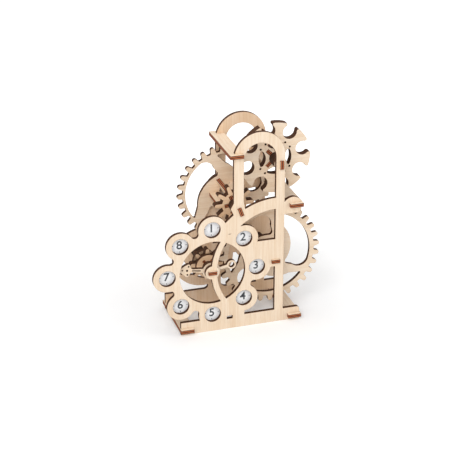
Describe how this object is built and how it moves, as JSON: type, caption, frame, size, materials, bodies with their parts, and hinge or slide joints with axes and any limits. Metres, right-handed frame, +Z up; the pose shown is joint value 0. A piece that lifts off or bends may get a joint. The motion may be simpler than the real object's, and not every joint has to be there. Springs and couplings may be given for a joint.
{
  "type": "wooden strength tester kit",
  "caption": "Desktop strength tester of laser-cut plywood: a flicked flywheel drives gears that turn a hand inside a flower-shaped dial of round medallions.",
  "frame": {"origin": "on the table, under the middle of the toy's bounding box", "axes": "+X to the right seen from the dial side, +Y from the front plate to the back plate, +Z up"},
  "size_m": [0.1872, 0.074, 0.2155],
  "materials": {
    "plywood": "matte laser-cut birch plywood",
    "medallion": "satin white board"
  },
  "bodies": {
    "frame": {"front_plate": "plywood", "back_plate": "plywood", "top_plank": "plywood", "right_plank": "plywood", "bottom_right_plank": "plywood", "bottom_left_plank": "plywood", "medallion_1": "medallion", "medallion_2": "medallion", "medallion_3": "medallion", "medallion_4": "medallion", "medallion_5": "medallion", "medallion_6": "medallion", "medallion_7": "medallion", "medallion_8": "medallion", "hand_axle": "plywood", "right_axle": "plywood", "left_axle": "plywood", "flywheel_axle": "plywood", "axle_pins": "plywood", "hand_axle_spacers": "plywood", "right_axle_spacers": "plywood", "left_axle_spacers": "plywood", "flywheel_axle_spacers": "plywood"},
    "right_gear_set": {"right_gear": "plywood", "right_hub_front": "plywood", "right_hub_rear": "plywood", "right_gear_pegs": "plywood"},
    "left_gear_set": {"left_gear": "plywood", "left_star_front": "plywood", "left_star_rear": "plywood", "left_gear_vanes": "plywood"},
    "flywheel_set": {"flywheel_front": "plywood", "flywheel_rear": "plywood", "flywheel_flange": "plywood", "flywheel_star_front": "plywood", "flywheel_star_rear": "plywood", "flywheel_vanes": "plywood"},
    "hand_set": {"hand": "plywood", "hand_spacer_1": "plywood", "hand_spacer_2": "plywood", "hand_flange_front": "plywood", "hand_star_front": "plywood", "hand_star_rear": "plywood", "hand_flange_rear": "plywood", "hand_pegs": "plywood"}
  },
  "joints": [
    {"name": "right_gear_spin", "type": "hinge", "parent": "frame", "child": "right_gear_set", "pos_m": [0.03774, 0, 0.07078], "axis": [0, -1, 0], "continuous": true},
    {"name": "left_gear_spin", "type": "hinge", "parent": "frame", "child": "left_gear_set", "pos_m": [-0.00068, 0, 0.13155], "axis": [0, -1, 0], "continuous": true},
    {"name": "flywheel_spin", "type": "hinge", "parent": "frame", "child": "flywheel_set", "pos_m": [0.04279, 0, 0.17736], "axis": [0, -1, 0], "continuous": true},
    {"name": "hand_spin", "type": "hinge", "parent": "frame", "child": "hand_set", "pos_m": [-0.03057, 0, 0.0672], "axis": [0, -1, 0], "continuous": true}
  ],
  "couplings": [
    {"joint": "left_gear_spin", "follows": "right_gear_spin", "ratio": -3.1},
    {"joint": "flywheel_spin", "follows": "right_gear_spin", "ratio": 10.85},
    {"joint": "hand_spin", "follows": "right_gear_spin", "ratio": -3.875}
  ]
}
